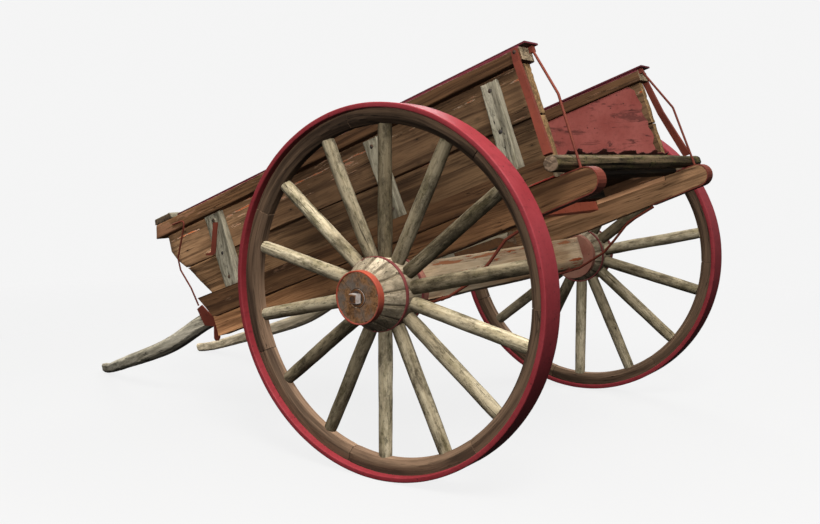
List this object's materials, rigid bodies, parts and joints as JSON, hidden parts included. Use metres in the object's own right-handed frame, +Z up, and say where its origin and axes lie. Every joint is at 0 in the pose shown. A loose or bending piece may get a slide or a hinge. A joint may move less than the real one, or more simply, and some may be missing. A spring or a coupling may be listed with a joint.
{
  "type": "horse-drawn tipping dray",
  "caption": "Two-wheeled wooden tipping dray with open tail, spoked iron-tyred wheels and curved shafts, resting on its shaft tips.",
  "frame": {"origin": "middle of the cart's footprint on the ground, between shaft tips and rear-most point", "axes": "+X towards the open tail, +Y towards the right wheel, +Z up; the ground is Z = 0"},
  "size_m": [3.0836, 2.12, 1.6164],
  "materials": {
    "grey_spoke_wood": "silver-grey weathered spokes with yellow-green lichen, cracks and small dark holes",
    "grey_weathered_wood": "pale grey weathered timber with dark splits",
    "felloe_wood": "grey-brown rim wood, paler inside",
    "nave_wood": "cream and grey nave staves with rusty end grain",
    "bed_wood": "tan beam with orange rust stains",
    "brown_board_wood": "warm brown boards with grain, dark joints and flaking paint",
    "tyre_red_paint": "crimson paint, chipped",
    "lining_red_paint": "faded rose-red paint, scuffed",
    "dark_red_iron": "dark maroon paint",
    "bare_iron": "dull dark iron",
    "rusty_nut_iron": "rusty forged iron",
    "red_painted_iron": "brick-red painted iron"
  },
  "bodies": {
    "shaft_frame": {"shaft_left": "grey_weathered_wood", "shaft_right": "grey_weathered_wood", "shaft_cross_bars": "grey_weathered_wood", "hinge_iron_left": "red_painted_iron", "hinge_iron_right": "red_painted_iron"},
    "tray": {"axle": "bare_iron", "axle_bed": "bed_wood", "axle_nuts": "rusty_nut_iron", "bed_bolts": "red_painted_iron", "cap_strip_left": "dark_red_iron", "cap_strip_right": "dark_red_iron", "catch_staples": "red_painted_iron", "cross_tie": "red_painted_iron", "floor_bearers": "brown_board_wood", "floor_boards": "brown_board_wood", "floor_lining": "lining_red_paint", "front_boards": "brown_board_wood", "front_cross_bar": "grey_weathered_wood", "front_plates": "red_painted_iron", "front_stay_left": "red_painted_iron", "front_stay_right": "red_painted_iron", "lower_board_left": "brown_board_wood", "lower_board_right": "brown_board_wood", "lower_rail_left": "brown_board_wood", "lower_rail_right": "brown_board_wood", "rear_stay_left": "red_painted_iron", "rear_stay_right": "red_painted_iron", "rear_strap_left": "red_painted_iron", "rear_strap_right": "red_painted_iron", "side_lining_left": "lining_red_paint", "side_lining_right": "lining_red_paint", "sill_ledgers": "brown_board_wood", "sill_left": "brown_board_wood", "sill_right": "brown_board_wood", "sill_shoes": "red_painted_iron", "stake_bolts": "bare_iron", "stake_cleats": "red_painted_iron", "stakes_left": "grey_weathered_wood", "stakes_right": "grey_weathered_wood", "tail_bar": "grey_weathered_wood", "top_rail_left": "brown_board_wood", "top_rail_right": "brown_board_wood", "under_stay_left": "red_painted_iron", "under_stay_right": "red_painted_iron", "upper_board_left": "brown_board_wood", "upper_board_right": "brown_board_wood"},
    "wheel_left": {"axle_box_left": "bare_iron", "felloes_left": "felloe_wood", "nave_bands_left": "red_painted_iron", "nave_left": "nave_wood", "spokes_left": "grey_spoke_wood", "tyre_left": "tyre_red_paint"},
    "wheel_right": {"axle_box_right": "bare_iron", "felloes_right": "felloe_wood", "nave_bands_right": "red_painted_iron", "nave_right": "nave_wood", "spokes_right": "grey_spoke_wood", "tyre_right": "tyre_red_paint"},
    "catch_left": {"catch_left": "red_painted_iron"},
    "catch_right": {"catch_right": "red_painted_iron"}
  },
  "joints": [
    {"name": "tray_tip", "type": "hinge", "parent": "shaft_frame", "child": "tray", "pos_m": [0.80435, 0, 0.7], "axis": [0, 1, 0], "range_deg": [0, 60]},
    {"name": "wheel_left_spin", "type": "hinge", "parent": "tray", "child": "wheel_left", "pos_m": [0.80435, -0.877, 0.7], "axis": [0, 1, 0], "continuous": true},
    {"name": "wheel_right_spin", "type": "hinge", "parent": "tray", "child": "wheel_right", "pos_m": [0.80435, 0.877, 0.7], "axis": [0, 1, 0], "continuous": true},
    {"name": "catch_left_swing", "type": "hinge", "parent": "tray", "child": "catch_left", "pos_m": [-0.37921, -0.591, 0.46077], "axis": [0, 1, 0], "range_deg": [-20, 75]},
    {"name": "catch_right_swing", "type": "hinge", "parent": "tray", "child": "catch_right", "pos_m": [-0.37921, 0.591, 0.46077], "axis": [0, 1, 0], "range_deg": [-20, 75]}
  ]
}
